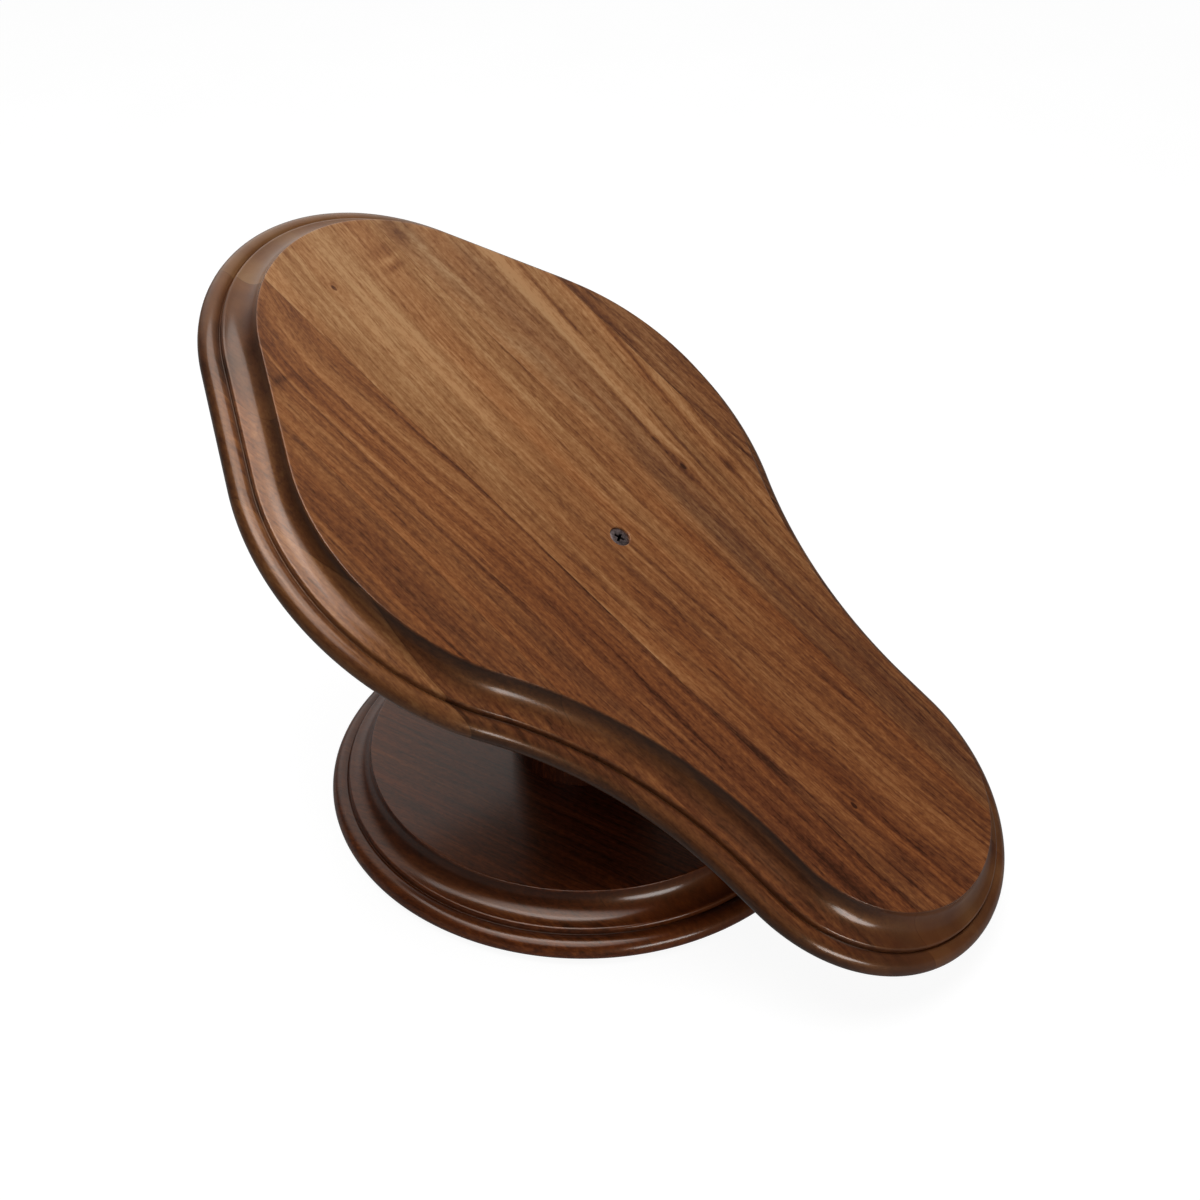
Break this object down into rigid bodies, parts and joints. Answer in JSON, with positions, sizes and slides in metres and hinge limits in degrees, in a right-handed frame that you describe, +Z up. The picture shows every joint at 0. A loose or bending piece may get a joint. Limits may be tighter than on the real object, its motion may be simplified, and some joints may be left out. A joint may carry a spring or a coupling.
{
  "type": "display stand",
  "caption": "Tilted pear-shaped walnut display panel with a moulded edge, screwed to a round post on a matching moulded base, for showing a photo album on a table.",
  "frame": {"origin": "on the table, under the middle of the round base", "axes": "+Z up, +X towards the panel's low narrow end, +Y towards its back long side"},
  "size_m": [0.3982, 0.286, 0.2578],
  "materials": {
    "panel_walnut": "satin lacquer",
    "base_walnut": "satin lacquer",
    "post_walnut": "satin lacquer",
    "screw_steel": "dark burnished",
    "felt": "felt"
  },
  "bodies": {
    "pedestal": {"base_stave_1": "base_walnut", "base_stave_2": "base_walnut", "base_stave_3": "base_walnut", "base_stave_4": "base_walnut", "base_stave_5": "base_walnut", "post": "post_walnut", "panel_screw": "screw_steel", "base_screws": "screw_steel", "base_felt": "felt"},
    "panel": {"panel_stave_1": "panel_walnut", "panel_stave_2": "panel_walnut", "panel_stave_3": "panel_walnut", "panel_stave_4": "panel_walnut", "panel_stave_5": "panel_walnut", "panel_stave_6": "panel_walnut"}
  },
  "joints": [
    {"name": "panel_swivel", "type": "hinge", "parent": "pedestal", "child": "panel", "pos_m": [0.02007, 0, 0.15459], "axis": [0.512, 0, 0.859], "continuous": true}
  ]
}
